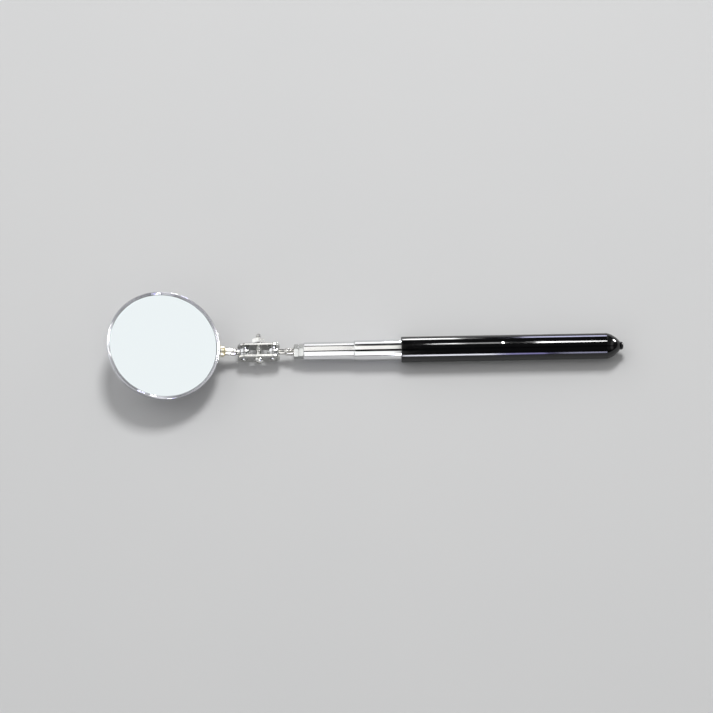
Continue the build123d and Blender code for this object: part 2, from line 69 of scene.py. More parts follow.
class Recipe:
    """A material under construction: its node tree, its Principled shader and short ways to add nodes."""

    def __init__(self, name):
        self.material = bpy.data.materials.new(name)
        self.material.use_nodes = True
        self.tree = self.material.node_tree
        self.tree.nodes.clear()
        self.shader = self.node("ShaderNodeBsdfPrincipled")
        output = self.node("ShaderNodeOutputMaterial")
        self.link(self.shader.outputs["BSDF"], output.inputs["Surface"])
        self.place = self.node("ShaderNodeTexCoord").outputs["Object"]

    def node(self, kind):
        return self.tree.nodes.new(kind)

    def link(self, source, target):
        self.tree.links.new(source, target)

    def fixed(self, **values):
        """Sets sockets of the shader that are the same all over the surface."""
        for name, value in values.items():
            self.shader.inputs[name.replace("_", " ")].default_value = value

    def stretched(self, scale, rotation=(0, 0, 0), location=(0, 0, 0)):
        """Object coordinates after a mapping, so that a pattern can run along one direction."""
        mapping = self.node("ShaderNodeMapping")
        mapping.inputs["Location"].default_value = location
        mapping.inputs["Rotation"].default_value = rotation
        mapping.inputs["Scale"].default_value = scale
        self.link(self.place, mapping.inputs["Vector"])
        return mapping.outputs["Vector"]

    def noise(self, scale, vector=None, detail=4.0, roughness=0.55):
        noise = self.node("ShaderNodeTexNoise")
        noise.inputs["Scale"].default_value = scale
        noise.inputs["Detail"].default_value = detail
        noise.inputs["Roughness"].default_value = roughness
        self.link(vector or self.place, noise.inputs["Vector"])
        return noise.outputs["Fac"]

    def specks(self, scale, size, vector=None):
        """1 inside small scattered dots, 0 between them."""
        cells = self.node("ShaderNodeTexVoronoi")
        cells.inputs["Scale"].default_value = scale
        self.link(vector or self.place, cells.inputs["Vector"])
        return self.between(cells.outputs["Distance"], size, size * 0.4, 0.0, 1.0)

    def between(self, value, low, high, out_low, out_high):
        """Maps low..high onto out_low..out_high and holds the ends."""
        scale = self.node("ShaderNodeMapRange")
        for name, number in (
            ("From Min", low),
            ("From Max", high),
            ("To Min", out_low),
            ("To Max", out_high),
        ):
            scale.inputs[name].default_value = number
        self.link(value, scale.inputs["Value"])
        return scale.outputs["Result"]

    def combine(self, first, second, operation="ADD"):
        """Adds, or multiplies, two values that are each a number or a socket."""
        math = self.node("ShaderNodeMath")
        math.operation = operation
        for socket, value in zip(math.inputs, (first, second)):
            if isinstance(value, (int, float)):
                socket.default_value = value
            else:
                self.link(value, socket)
        return math.outputs["Value"]

    def blend(self, factor, first, second):
        """A colour between two, each given as a tuple or a socket."""
        mix = self.node("ShaderNodeMix")
        mix.data_type = "RGBA"
        self.link(factor, mix.inputs["Factor"])
        for name, value in (("A", first), ("B", second)):
            socket = next(s for s in mix.inputs if s.name == name and s.type == "RGBA")
            if isinstance(value, tuple):
                socket.default_value = (*value, 1.0)
            else:
                self.link(value, socket)
        return next(s for s in mix.outputs if s.type == "RGBA")

    def colour(self, socket):
        self.link(socket, self.shader.inputs["Base Color"])

    def rough(self, socket):
        self.link(socket, self.shader.inputs["Roughness"])

    def bump(self, height, distance, strength=1.0):
        bump = self.node("ShaderNodeBump")
        bump.inputs["Strength"].default_value = strength
        bump.inputs["Distance"].default_value = distance
        self.link(height, bump.inputs["Height"])
        self.link(bump.outputs["Normal"], self.shader.inputs["Normal"])


# ---------------------------------------------------------------- materials


def plated_tube(name):
    """Bright chrome on drawn tube: fine lines along the tube, faint smears and a few rub marks."""
    recipe = Recipe(name)
    recipe.fixed(Metallic=1.0)
    drawn = recipe.noise(900, recipe.stretched((0.02, 1, 1)), detail=3)
    smears = recipe.noise(90, recipe.stretched((0.35, 1, 1)), detail=5)
    rubs = recipe.between(recipe.noise(500, recipe.stretched((0.01, 1, 1)), detail=2), 0.66, 0.74, 0.0, 1.0)
    streaks = recipe.between(recipe.combine(drawn, smears), 0.75, 1.25, 0.0, 1.0)
    recipe.colour(recipe.blend(streaks, (0.71, 0.715, 0.73), (0.88, 0.885, 0.89)))
    roughness = recipe.between(smears, 0.35, 0.75, 0.04, 0.12)
    recipe.rough(recipe.combine(roughness, recipe.combine(rubs, 0.14, "MULTIPLY")))
    recipe.bump(recipe.combine(drawn, recipe.combine(rubs, -0.8, "MULTIPLY")), 0.00001, 0.6)
    return recipe.material


def nickel(name, tint, low, high, grain=(1, 1, 1), depth=0.000006):
    """Nickel plate with its grain along one direction, light tarnish and small scuffs."""
    recipe = Recipe(name)
    recipe.fixed(Metallic=1.0)
    lines = recipe.noise(2500, recipe.stretched(grain), detail=3)
    cloud = recipe.noise(260, detail=5)
    scuffs = recipe.between(recipe.noise(1500, detail=2), 0.64, 0.72, 0.0, 1.0)
    darker = tuple(part * 0.86 for part in tint)
    recipe.colour(recipe.blend(recipe.between(cloud, 0.35, 0.7, 0.0, 1.0), tint, darker))
    roughness = recipe.between(recipe.combine(lines, cloud), 0.7, 1.3, low, high)
    recipe.rough(recipe.combine(roughness, recipe.combine(scuffs, 0.12, "MULTIPLY")))
    recipe.bump(recipe.combine(lines, recipe.combine(scuffs, -0.5, "MULTIPLY")), depth, 0.6)
    return recipe.material


def black_gloss():
    """Deep black glossy coat: faint waviness, fine wipe marks and a little dust."""
    recipe = Recipe("black_gloss")
    recipe.fixed(IOR=1.5)
    wave = recipe.noise(160, detail=2)
    wipes = recipe.noise(1400, recipe.stretched((0.12, 1, 1)), detail=4)
    smears = recipe.noise(60, detail=6)
    dust = recipe.specks(900, 0.16)
    patchy = recipe.combine(dust, recipe.between(smears, 0.45, 0.7, 0.0, 1.0), "MULTIPLY")
    dusty = recipe.combine(patchy, 0.25, "MULTIPLY")
    recipe.colour(recipe.blend(dusty, (0.0025, 0.0025, 0.003), (0.10, 0.10, 0.11)))
    recipe.rough(recipe.between(recipe.combine(wipes, smears), 0.7, 1.35, 0.04, 0.12))
    recipe.bump(recipe.combine(wave, recipe.combine(wipes, 0.08, "MULTIPLY")), 0.00002, 0.25)
    return recipe.material


GLASS_EDGE_SHADE_START = 27.25 * MM  # from the mirror's centre out to where painted shade begins to darken its edge
GLASS_EDGE_SHADE_END = 27.5 * MM


def silvered_glass():
    """Front of the mirror: a clean cool reflection with wipe marks and specks of dust, and painted shade
    darkening its edge where the cup's lip meets the glass.
    """
    recipe = Recipe("silvered_glass")
    recipe.fixed(Metallic=1.0)
    wipes = recipe.noise(220, recipe.stretched((1, 0.18, 1), rotation=(0, 0, radians(28))), detail=5)
    dust = recipe.specks(420, 0.05)
    reach = recipe.node("ShaderNodeVectorMath")
    reach.operation = "DISTANCE"
    recipe.link(recipe.place, reach.inputs[0])
    reach.inputs[1].default_value = mirror_origin
    # Painted shade: a dark, uneven ring at the glass's edge, where the cup's lip overhangs it.
    uneven_shade = recipe.between(recipe.noise(170, detail=3), 0.35, 0.6, 0.35, 1.0)
    rim = recipe.between(reach.outputs["Value"], GLASS_EDGE_SHADE_START, GLASS_EDGE_SHADE_END, 0.0, 1.0)
    painted_edge_shade = recipe.combine(rim, uneven_shade, "MULTIPLY")
    silver = recipe.blend(dust, (0.87, 0.93, 0.945), (0.66, 0.68, 0.68))
    # The edge is blended towards near-black, which is painted shade, not a colour of the silvering.
    recipe.colour(recipe.blend(painted_edge_shade, silver, (0.05, 0.055, 0.06)))
    roughness = recipe.between(wipes, 0.5, 0.75, 0.004, 0.03)
    recipe.rough(recipe.combine(roughness, recipe.combine(dust, 0.3, "MULTIPLY")))
    return recipe.material


def spun_chrome():
    """The cup: bright plate over spun metal, with faint rings round its axis."""
    recipe = Recipe("spun_chrome")
    recipe.fixed(Metallic=1.0)
    rings = recipe.node("ShaderNodeTexWave")
    rings.wave_type = "RINGS"
    rings.rings_direction = "Z"
    rings.inputs["Scale"].default_value = 250
    rings.inputs["Distortion"].default_value = 1.5
    square_to_glass = glass_normal.rotation_difference(Vector((0, 0, 1))).to_euler()
    recipe.link(recipe.stretched((1, 1, 1), rotation=square_to_glass), rings.inputs["Vector"])
    cloud = recipe.noise(120, detail=6)
    recipe.colour(recipe.blend(cloud, (0.64, 0.65, 0.69), (0.76, 0.76, 0.80)))
    recipe.rough(recipe.between(cloud, 0.35, 0.75, 0.05, 0.13))
    recipe.bump(rings.outputs["Fac"], 0.000004, 0.35)
    return recipe.material


FERRULE_MIDDLE = 11.5 * MM  # from the front ball's centre along the stem


def brazed_nickel():
    """Ferrule and tongue: warm nickel that shows the brass colour of the brazing near the stem."""
    recipe = Recipe("brazed_nickel")
    recipe.fixed(Metallic=1.0)
    along = recipe.node("ShaderNodeSeparateXYZ")
    recipe.link(recipe.place, along.inputs["Vector"])
    cloud = recipe.noise(700, detail=5)
    ferrule_x = front_ball_centre.x + stem_direction.x * FERRULE_MIDDLE
    near = recipe.between(along.outputs["X"], ferrule_x - 1.5 * MM, ferrule_x + 1.0 * MM, 0.0, 1.0)
    stain = recipe.combine(near, recipe.between(cloud, 0.35, 0.6, 0.0, 1.0), "MULTIPLY")
    recipe.colour(recipe.blend(stain, (0.72, 0.71, 0.66), (0.66, 0.55, 0.26)))
    recipe.rough(recipe.between(cloud, 0.3, 0.75, 0.16, 0.34))
    recipe.bump(cloud, 0.00002, 0.35)
    return recipe.material


def foam_rubber():
    """Dark fine-grained pad behind the glass."""
    recipe = Recipe("foam_rubber")
    grain = recipe.noise(3000, detail=4)
    recipe.colour(recipe.blend(grain, (0.03, 0.03, 0.03), (0.09, 0.09, 0.09)))
    recipe.rough(recipe.between(grain, 0.3, 0.7, 0.75, 0.95))
    recipe.bump(grain, 0.0001, 0.6)
    return recipe.material


def rolled_brass():
    """Springs: rolled brass with lines along the tube and dull stains."""
    recipe = Recipe("rolled_brass")
    recipe.fixed(Metallic=1.0)
    lines = recipe.noise(1800, recipe.stretched((0.03, 1, 1)), detail=3)
    stain = recipe.noise(300, detail=5)
    recipe.colour(recipe.blend(stain, (0.78, 0.58, 0.26), (0.52, 0.36, 0.14)))
    recipe.rough(recipe.between(lines, 0.3, 0.7, 0.22, 0.42))
    recipe.bump(lines, 0.00001, 0.5)
    return recipe.material


def pale_floor():
    """Plain matt floor with a barely uneven tone."""
    recipe = Recipe("pale_floor")
    recipe.fixed(Specular_IOR_Level=0.0)
    cloud = recipe.noise(6, detail=3)
    fibre = recipe.noise(700, detail=3)
    recipe.colour(recipe.blend(cloud, (0.66, 0.665, 0.67), (0.69, 0.69, 0.69)))
    recipe.rough(recipe.between(fibre, 0.3, 0.7, 0.75, 0.9))
    recipe.bump(fibre, 0.00008, 0.12)
    return recipe.material


def dress(material, *names):
    """Gives each named CAD node its material."""
    for name in names:
        slots = nodes[name].material_slots
        if not slots:
            nodes[name].data.materials.append(material)
        for slot in nodes[name].material_slots:
            slot.material = material


turned_nickel = nickel("turned_nickel", (0.83, 0.82, 0.79), 0.06, 0.15, grain=(1, 0.3, 0.3))
fastener_nickel = nickel("fastener_nickel", (0.80, 0.80, 0.78), 0.09, 0.20)
plate_nickel = nickel("plate_nickel", (0.74, 0.74, 0.72), 0.09, 0.20, grain=(0.05, 1, 1))
satin_nickel = nickel("satin_nickel", (0.68, 0.69, 0.675), 0.10, 0.18, grain=(1, 0.4, 0.4), depth=0.000008)
drawn_steel = nickel("drawn_steel", (0.6, 0.6, 0.6), 0.22, 0.36, grain=(0.03, 1, 1))
braze_metal = nickel("braze_metal", (0.74, 0.62, 0.30), 0.18, 0.34)
cup_chrome = spun_chrome()
dress(plated_tube("plated_tube"), "inner_tube", "middle_tube")
dress(black_gloss(), "grip_sleeve", "grip_end_plug", "end_button")
dress(silvered_glass(), "mirror_glass")
dress(brazed_nickel(), "stem_bracket", "bracket_rivets")
dress(nickel("polished_ball", (0.76, 0.77, 0.78), 0.05, 0.13), "front_ball", "rear_ball")
dress(plate_nickel, "clamp_plate_near", "clamp_plate_far")
dress(fastener_nickel, "clamp_nut", "grip_pin")
dress(satin_nickel, "stud_lock_nut", "tube_plug")
dress(foam_rubber(), "backing_pad")
dress(rolled_brass(), "middle_tube_spring", "inner_tube_spring")
dress(drawn_steel, "outer_tube")

# ---------------------------------------------------------------- detailed pieces
# All but the ring of brazing metal stand for one CAD piece each. They keep its place and outer size, and
# add what the machine leaves on it. Outlines are in millimetres, as (distance along the axis, radius).


def across(axis):
    """Two unit vectors square to an axis and to each other."""
    side = Vector((0, 0, 1)) if abs(axis.z) < 0.9 else Vector((0, 1, 0))
    first = (side - axis * side.dot(axis)).normalized()
    return first, axis.cross(first)


SHARP_ANGLE = radians(35)  # an edge that bends more than this stays sharp


def finish_piece(name, work, origin, material, body, stands_for=None, sharp_angle=SHARP_ANGLE):
    """Turns a bmesh in world axes round its origin into a piece of the scene."""
    bmesh.ops.remove_doubles(work, verts=work.verts, dist=1e-8)
    bmesh.ops.recalc_face_normals(work, faces=work.faces)
    mesh = bpy.data.meshes.new(name)
    work.to_mesh(mesh)
    work.free()
    mesh.shade_smooth()
    mesh.set_sharp_from_angle(angle=sharp_angle)
    mesh.materials.append(material)
    piece = bpy.data.objects.new(name, mesh)
    piece.location = origin
    scene.collection.objects.link(piece)
    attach(piece, body)
    if stands_for:
        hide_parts(stands_for)
    return piece


def turned(axis, outline, segments=64, thread=None):
    """Bmesh of a turned piece. The outline starts and ends on the axis, or closes on itself clear of it,
    and thread(distance, turns) adds to the radius."""
    first, second = across(axis)
    work = bmesh.new()
    rings = []
    for distance, radius in outline:
        centre = axis * distance
        if radius == 0:
            rings.append([work.verts.new(centre * MM)])
            continue
        ring = []
        for step in range(segments):
            turns = step / segments
            reach = radius + (thread(distance, turns) if thread else 0.0)
            direction = first * cos(2 * pi * turns) + second * sin(2 * pi * turns)
            ring.append(work.verts.new((centre + direction * reach) * MM))
        rings.append(ring)
    for ring, following in zip(rings, rings[1:]):
        for step in range(segments):
            after = (step + 1) % segments
            if len(ring) == 1:
                work.faces.new((ring[0], following[step], following[after]))
            elif len(following) == 1:
                work.faces.new((ring[step], following[0], ring[after]))
            else:
                work.faces.new((ring[step], following[step], following[after], ring[after]))
    return work


def arc(centre, radius, start, end, steps):
    """Points on a circle in an outline, from one angle to another in degrees."""
    angles = [radians(start + (end - start) * step / steps) for step in range(steps + 1)]
    return [(centre[0] + radius * cos(angle), centre[1] + radius * sin(angle)) for angle in angles]


def screw_thread(start, end, pitch, depth):
    """Helical groove cut into a plain shank between two distances, running out at both ends."""

    def cut(distance, turns):
        run_out = min(1.0, max(0.0, min(distance - start, end - distance) / pitch))
        phase = ((distance - start) / pitch - turns) % 1.0
        return -depth * run_out * min(1.0, max(0.0, 1.3 * abs(2 * phase - 1) - 0.15))

    return cut


def stations(start, end, radius, spacing):
    """Evenly spaced points at one radius, close enough to carry a thread."""
    count = round(abs(end - start) / spacing)
    return [(start + (end - start) * step / count, radius) for step in range(count + 1)]


def ball_seat_outline(ball_radius, neck_radius, steps=8):
    """Hollow seat at the end of a neck, from the axis out to the neck's surface."""
    return [
        (sqrt(ball_radius**2 - (neck_radius * step / steps) ** 2), neck_radius * step / steps)
        for step in range(steps + 1)
    ]


def ogee(start, end, first_radius, last_radius, steps=6):
    """Smooth step in radius, flat at both ends."""
    points = []
    for step in range(steps + 1):
        share = step / steps
        rise = (1 - cos(pi * share)) / 2
        points.append((start + (end - start) * share, first_radius + (last_radius - first_radius) * rise))
    return points


SEAT_RADIUS = 3.18  # a little more than the ball's
NECK_RADIUS = 1.45

# Rear stud: a neck behind the ball, then a threaded shank.
STUD_NECK_END = 5.6
STUD_NECK_FILLET = 0.9
STUD_SHOULDER_RADIUS = 2.0
STUD_CREST = 2.15
STUD_PITCH = 0.8
STUD_THREAD_DEPTH = 0.34
STUD_THREAD_START = 7.0
STUD_THREAD_END = 21.0
STUD_END = 21.4
STUD_END_RADIUS = 1.75
THREAD_STATIONS = 12  # rings of vertices in each turn of a thread

stud_fillet_centre = (STUD_NECK_END, NECK_RADIUS + STUD_NECK_FILLET)
stud_outline = [
    *ball_seat_outline(SEAT_RADIUS, NECK_RADIUS),
    *arc(stud_fillet_centre, STUD_NECK_FILLET, 270, 325, 5),
    (STUD_THREAD_START - 0.25, STUD_SHOULDER_RADIUS),
    (STUD_THREAD_START - 0.05, STUD_CREST),
    *stations(STUD_THREAD_START, STUD_THREAD_END, STUD_CREST, STUD_PITCH / THREAD_STATIONS),
    (STUD_END, STUD_END_RADIUS),
    (STUD_END, 0),
]
stud_thread = screw_thread(STUD_THREAD_START, STUD_THREAD_END, STUD_PITCH, STUD_THREAD_DEPTH)
finish_piece(
    "rear_stud_threaded",
    turned(TOOL_AXIS, stud_outline, thread=stud_thread),
    tool_axis_point,
    turned_nickel,
    "rear_stud",
    "rear_stud",
)

# Mirror stem: a neck, a smooth shoulder, and a shank with one fine groove before the ferrule.
STEM_RADIUS = 1.9
STEM_SHOULDER_START = 3.7
STEM_SHOULDER_END = 4.8
STEM_GROOVE_START = 9.35
STEM_GROOVE_END = 9.85
STEM_GROOVE_DEPTH = 0.1
STEM_END = 12.4
stem_outline = [
    *ball_seat_outline(SEAT_RADIUS, NECK_RADIUS),
    *ogee(STEM_SHOULDER_START, STEM_SHOULDER_END, NECK_RADIUS, STEM_RADIUS),
    (STEM_GROOVE_START, STEM_RADIUS),
    (STEM_GROOVE_START + STEM_GROOVE_DEPTH, STEM_RADIUS - STEM_GROOVE_DEPTH),
    (STEM_GROOVE_END - STEM_GROOVE_DEPTH, STEM_RADIUS - STEM_GROOVE_DEPTH),
    (STEM_GROOVE_END, STEM_RADIUS),
    (STEM_END, STEM_RADIUS),
    (STEM_END, 0),
]
finish_piece(
    "mirror_stem_turned",
    turned(stem_direction, stem_outline),
    front_ball_centre,
    turned_nickel,
    "mirror_stem",
    "mirror_stem",
)

# Ring of brazing metal in the mouth of the ferrule, a little clear of the stem. Its front is hollow.
BRAZE_BACK = 10.42
BRAZE_FRONT = 9.93
BRAZE_INNER_RADIUS = 1.96
BRAZE_OUTER_RADIUS = 2.66
BRAZE_HOLLOW = 0.8
hollow_centre = (BRAZE_FRONT - 0.03, BRAZE_OUTER_RADIUS + 0.19)
braze_outline = [
    (BRAZE_BACK, BRAZE_INNER_RADIUS),
    (BRAZE_FRONT + 0.07, BRAZE_INNER_RADIUS),
    (BRAZE_FRONT, BRAZE_INNER_RADIUS + 0.06),
    *arc(hollow_centre, BRAZE_HOLLOW, 280, 345, 6),
    (BRAZE_BACK, BRAZE_OUTER_RADIUS),
    (BRAZE_BACK, BRAZE_INNER_RADIUS),
]
finish_piece(
    "braze_fillet",
    turned(stem_direction, braze_outline),
    front_ball_centre,
    braze_metal,
    "mirror_head",
)

# Clamp screw: a domed slotted head on the near side, a thread up to the nut's side.
SCREW_RADIUS = 1.42
SCREW_PITCH = 0.7
SCREW_THREAD_DEPTH = 0.27
SCREW_THREAD_START = 0.2
SCREW_THREAD_END = 9.4
SCREW_CUT_END = 9.89  # past the threaded stretch, so its last turn is nearly full
SCREW_END = 9.8
SCREW_END_RADIUS = 0.95
HEAD_RADIUS = 2.6
HEAD_TOP = -5.89
HEAD_UNDERSIDE = -3.79
HEAD_EDGE = 0.08
DOME_HEIGHT = 1.35
dome_angles = [radians(degrees) for degrees in range(0, 91, 10)]
screw_outline = [
    *[(HEAD_TOP + DOME_HEIGHT * (1 - cos(angle)), HEAD_RADIUS * sin(angle)) for angle in dome_angles],
    (HEAD_UNDERSIDE - HEAD_EDGE, HEAD_RADIUS),
    (HEAD_UNDERSIDE, HEAD_RADIUS - HEAD_EDGE),
    (HEAD_UNDERSIDE, SCREW_RADIUS),
    *stations(SCREW_THREAD_START, SCREW_THREAD_END, SCREW_RADIUS, SCREW_PITCH / THREAD_STATIONS),
    (SCREW_THREAD_END + 0.1, SCREW_RADIUS - 0.12),
    (SCREW_END, SCREW_END_RADIUS),
    (SCREW_END, 0),
]
screw_cut = screw_thread(SCREW_THREAD_START, SCREW_CUT_END, SCREW_PITCH, SCREW_THREAD_DEPTH)
screw_piece = finish_piece(
    "clamp_screw_threaded",
    turned(SCREW_AXIS, screw_outline, segments=56, thread=screw_cut),
    screw_centre,
    fastener_nickel,
    "clamp",
    "clamp_screw",
)


def cut_slot(piece, centre, size, turn):
    """Cuts a straight slot, a box turned about Y, out of a piece."""
    work = bmesh.new()
    bmesh.ops.create_cube(work, size=1.0)
    place = Matrix.Translation(centre) @ Matrix.Rotation(turn, 4, "Y") @ Matrix.Diagonal((*size, 1.0))
    work.transform(place)
    tool_mesh = bpy.data.meshes.new("slot_cutter")
    work.to_mesh(tool_mesh)
    work.free()
    tool = bpy.data.objects.new("slot_cutter", tool_mesh)
    scene.collection.objects.link(tool)
    cut = piece.modifiers.new("slot", "BOOLEAN")
    cut.operation = "DIFFERENCE"
    cut.solver = "EXACT"
    cut.object = tool
    bpy.context.view_layer.update()
    shaped = bpy.data.meshes.new_from_object(piece.evaluated_get(bpy.context.evaluated_depsgraph_get()))
    piece.modifiers.clear()
    old = piece.data
    piece.data = shaped
    bpy.data.meshes.remove(old)
    bpy.data.objects.remove(tool)
    bpy.data.meshes.remove(tool_mesh)
    shaped.set_sharp_from_angle(angle=SHARP_ANGLE)


SLOT_WIDTH = 0.8 * MM
SLOT_DEPTH = 0.84 * MM
SLOT_LENGTH = 7.0 * MM
SLOT_TURN = radians(35)
slot_centre = screw_centre + SCREW_AXIS * HEAD_TOP * MM
cut_slot(screw_piece, slot_centre, (SLOT_LENGTH, 2 * SLOT_DEPTH, SLOT_WIDTH), SLOT_TURN)

# Split spring washer: a ring of flat wire that rises a little from one end to the other.
WASHER_STEPS = 72
WASHER_GAP = radians(9)
WASHER_FOOT = 3.80
WASHER_RISE = 0.10
WASHER_INNER = 1.52
WASHER_OUTER = 2.68
WASHER_THICKNESS = 0.48
WASHER_BEVEL = 0.05
WASHER_END_LEAN = 0.35  # slope of the cut at the split
washer_section = [
    (WASHER_INNER + WASHER_BEVEL, 0.0),
    (WASHER_OUTER - WASHER_BEVEL, 0.0),
    (WASHER_OUTER, WASHER_BEVEL),
    (WASHER_OUTER, WASHER_THICKNESS - WASHER_BEVEL),
    (WASHER_OUTER - WASHER_BEVEL, WASHER_THICKNESS),
    (WASHER_INNER + WASHER_BEVEL, WASHER_THICKNESS),
    (WASHER_INNER, WASHER_THICKNESS - WASHER_BEVEL),
    (WASHER_INNER, WASHER_BEVEL),
]
washer = bmesh.new()
washer_first, washer_second = across(SCREW_AXIS)
washer_rings = []
for step in range(WASHER_STEPS + 1):
    share = step / WASHER_STEPS
    ring = []
    for radius, rise in washer_section:
        lean = (rise - WASHER_THICKNESS / 2) * WASHER_END_LEAN / radius
        angle = WASHER_GAP / 2 + (2 * pi - WASHER_GAP) * share + lean
        direction = washer_first * cos(angle) + washer_second * sin(angle)
        height = WASHER_FOOT + WASHER_RISE * share + rise
        ring.append(washer.verts.new((direction * radius + SCREW_AXIS * height) * MM))
    washer_rings.append(ring)
corners_of_section = len(washer_section)
for ring, following in zip(washer_rings, washer_rings[1:]):
    for corner in range(corners_of_section):
        after = (corner + 1) % corners_of_section
        washer.faces.new((ring[corner], ring[after], following[after], following[corner]))
washer.faces.new(washer_rings[0])
washer.faces.new(washer_rings[-1])
finish_piece(
    "spring_washer_split",
    washer,
    screw_centre,
    fastener_nickel,
    "clamp",
    "spring_washer",
)

# Pressed cup, open towards the glass. Distances run along the glass's normal from the stem's axis.
CUP_BACK = 0.62
CUP_SHEET = 0.5
CUP_WALL_RADIUS = 28.5
CUP_CORNER = 1.3
CUP_INNER_RADIUS = 28.29
PRESSED_RING_START = 24.2
PRESSED_RING_WIDTH = 1.6
PRESSED_RING_DEPTH = 0.22
PRESSED_RING_STEPS = 10
WALL_END = 3.3
BEAD_CENTRE = (4.30, 28.38)
BEAD_RADIUS = 0.42
LIP_BACK = 4.08
LIP_GROOVE = 4.16
LIP_BEAD_CENTRE = (4.22, 27.60)
LIP_BEAD_RADIUS = 0.22
LIP_RADIUS = 27.33


def pressed_ring():
    """Shallow groove pressed into the back of the cup, round its edge."""
    points = []
    for step in range(PRESSED_RING_STEPS + 1):
        share = step / PRESSED_RING_STEPS
        depth = PRESSED_RING_DEPTH * (1 - cos(2 * pi * share)) / 2
        points.append((CUP_BACK + depth, PRESSED_RING_START + PRESSED_RING_WIDTH * share))
    return points


corner_centre = (CUP_BACK + CUP_CORNER, CUP_WALL_RADIUS - CUP_CORNER)
cup_outline = [
    (CUP_BACK, 0),
    *pressed_ring(),
    *arc(corner_centre, CUP_CORNER, 180, 90, 10),
    (WALL_END, CUP_WALL_RADIUS),
    (WALL_END + 0.45, CUP_WALL_RADIUS - 0.04),
    *arc(BEAD_CENTRE, BEAD_RADIUS, 125, -85, 22),
    (LIP_GROOVE, LIP_BEAD_CENTRE[1] + 0.33),
    (LIP_GROOVE, LIP_BEAD_CENTRE[1] + 0.25),
    *arc(LIP_BEAD_CENTRE, LIP_BEAD_RADIUS, 60, -70, 8),
    (LIP_BACK, LIP_RADIUS),
    (LIP_BACK, CUP_INNER_RADIUS),
    (CUP_BACK + CUP_SHEET + 0.28, CUP_INNER_RADIUS),
    (CUP_BACK + CUP_SHEET, CUP_INNER_RADIUS - 0.29),
    (CUP_BACK + CUP_SHEET, 0),
]
finish_piece(
    "mirror_cup_rolled",
    turned(glass_normal, cup_outline, segments=192),
    mirror_origin,
    cup_chrome,
    "mirror_head",
    "mirror_cup",
    sharp_angle=radians(40),
)

# ---------------------------------------------------------------- floor, light and camera

FLOOR_HALF_WIDTH = 6.0
floor_mesh = bpy.data.meshes.new("floor")
corners = [(-1, -1), (1, -1), (1, 1), (-1, 1)]
floor_mesh.from_pydata(
    [(x * FLOOR_HALF_WIDTH, y * FLOOR_HALF_WIDTH, 0) for x, y in corners], [], [(0, 1, 2, 3)]
)
floor = bpy.data.objects.new("floor", floor_mesh)
scene.collection.objects.link(floor)
floor.data.materials.append(pale_floor())

CAMERA_ELEVATION = radians(66.5)
CAMERA_TURN = radians(1.13)  # the tool's grip end lies slightly further from the camera
CAMERA_DISTANCE = 3.0
VIEW_WIDTH = 0.360
CAMERA_FAR = 50.0
SENSOR_WIDTH = 36.0
LOOK_AT = Vector((-0.0043, -0.0033, AXIS_HEIGHT))

camera_data = bpy.data.cameras.new("camera")
camera_data.sensor_width = SENSOR_WIDTH
camera_data.lens = SENSOR_WIDTH * CAMERA_DISTANCE / VIEW_WIDTH
camera_data.clip_end = CAMERA_FAR
camera = bpy.data.objects.new("camera", camera_data)
scene.collection.objects.link(camera)
towards = Vector(
    (
        sin(CAMERA_TURN) * cos(CAMERA_ELEVATION),
        cos(CAMERA_TURN) * cos(CAMERA_ELEVATION),
        -sin(CAMERA_ELEVATION),
    )
)
camera.location = LOOK_AT - towards * CAMERA_DISTANCE
camera.rotation_euler = towards.to_track_quat("-Z", "Y").to_euler()
scene.camera = camera


def studio_world():
    """A soft surround: bands from back to front over the tool, times zones from end to end of it."""
    world = bpy.data.worlds.new("studio")
    world.use_nodes = True
    tree = world.node_tree
    tree.nodes.clear()

    def node(kind, operation=None):
        made = tree.nodes.new(kind)
        if operation:
            made.operation = operation
        return made

    def ramp_of(value, stops):
        """Grey ramp over a value from 0 to 1, given as pairs of place and level."""
        ramp = node("ShaderNodeValToRGB")
        elements = ramp.color_ramp.elements
        while len(elements) < len(stops):
            elements.new(0.5)
        for element, (place, level) in zip(elements, stops):
            element.position = place
            element.color = (level, level, level, 1.0)
        tree.links.new(value, ramp.inputs["Fac"])
        return ramp.outputs["Color"]

    parts = node("ShaderNodeSeparateXYZ")
    tree.links.new(node("ShaderNodeTexCoord").outputs["Generated"], parts.inputs["Vector"])
    angle = node("ShaderNodeMath", "ARCTAN2")
    tree.links.new(parts.outputs["Z"], angle.inputs[0])
    tree.links.new(parts.outputs["Y"], angle.inputs[1])
    share = node("ShaderNodeMath", "DIVIDE")
    share.inputs[1].default_value = pi
    tree.links.new(angle.outputs["Value"], share.inputs[0])
    sideways = node("ShaderNodeMapRange")
    sideways.inputs["From Min"].default_value = -1.0
    tree.links.new(parts.outputs["X"], sideways.inputs["Value"])

    bands = ramp_of(share.outputs["Value"], [(degrees / 180, level) for degrees, level in SKY_BANDS])
    zones = ramp_of(sideways.outputs["Result"], [((lean + 1) / 2, level) for lean, level in SKY_ZONES])
    product = node("ShaderNodeMix")
    product.data_type = "RGBA"
    product.blend_type = "MULTIPLY"
    product.inputs["Factor"].default_value = 1.0
    colours = [socket for socket in product.inputs if socket.type == "RGBA"]
    tree.links.new(bands, colours[0])
    tree.links.new(zones, colours[1])
    light = node("ShaderNodeBackground")
    light.inputs["Strength"].default_value = SKY_BRIGHTNESS
    blended = next(socket for socket in product.outputs if socket.type == "RGBA")
    tree.links.new(blended, light.inputs["Color"])
    tree.links.new(light.outputs["Background"], node("ShaderNodeOutputWorld").inputs["Surface"])
    scene.world = world


# Share of the surround's brightness by degrees from the far horizon (+Y), over the top, to the near one.
SKY_BRIGHTNESS = 1.3
SKY_BANDS = [
    (0, 0.05),
    (10, 0.12),
    (24, 0.85),
    (60, 1.0),
    (104, 0.97),
    (108, 0.06),
    (117, 0.06),
    (121, 0.9),
    (150, 0.8),
    (168, 0.12),
    (180, 0.05),
]
